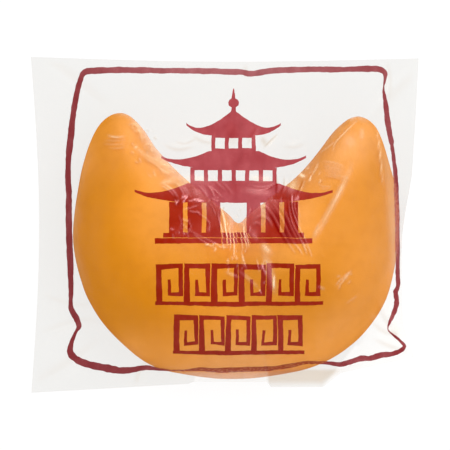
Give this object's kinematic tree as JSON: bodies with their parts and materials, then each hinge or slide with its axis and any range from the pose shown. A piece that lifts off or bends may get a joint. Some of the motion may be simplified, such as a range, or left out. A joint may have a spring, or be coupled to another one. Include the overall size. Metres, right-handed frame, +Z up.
{
  "type": "wrapped fortune cookie",
  "caption": "Folded wafer cookie with two horns and a notch, in a clear sealed film pack with a red line print, lying on its back.",
  "frame": {"origin": "on the surface that the pack lies on, below the middle of the pack's box", "axes": "+X across the pack to the right, +Y from the bottom seal to the top seal and the horns, +Z up, out of the printed front"},
  "size_m": [0.0776, 0.0672, 0.0298],
  "materials": {
    "clear_film": "thin clear packing film, creased, with a soft gloss",
    "baked_wafer": "smooth golden baked wafer with a faint sheen, darker at its rim",
    "red_print": "thin dark red ink on film"
  },
  "bodies": {
    "root": {"wrapped_cookie": "clear_film"}
  },
  "joints": []
}
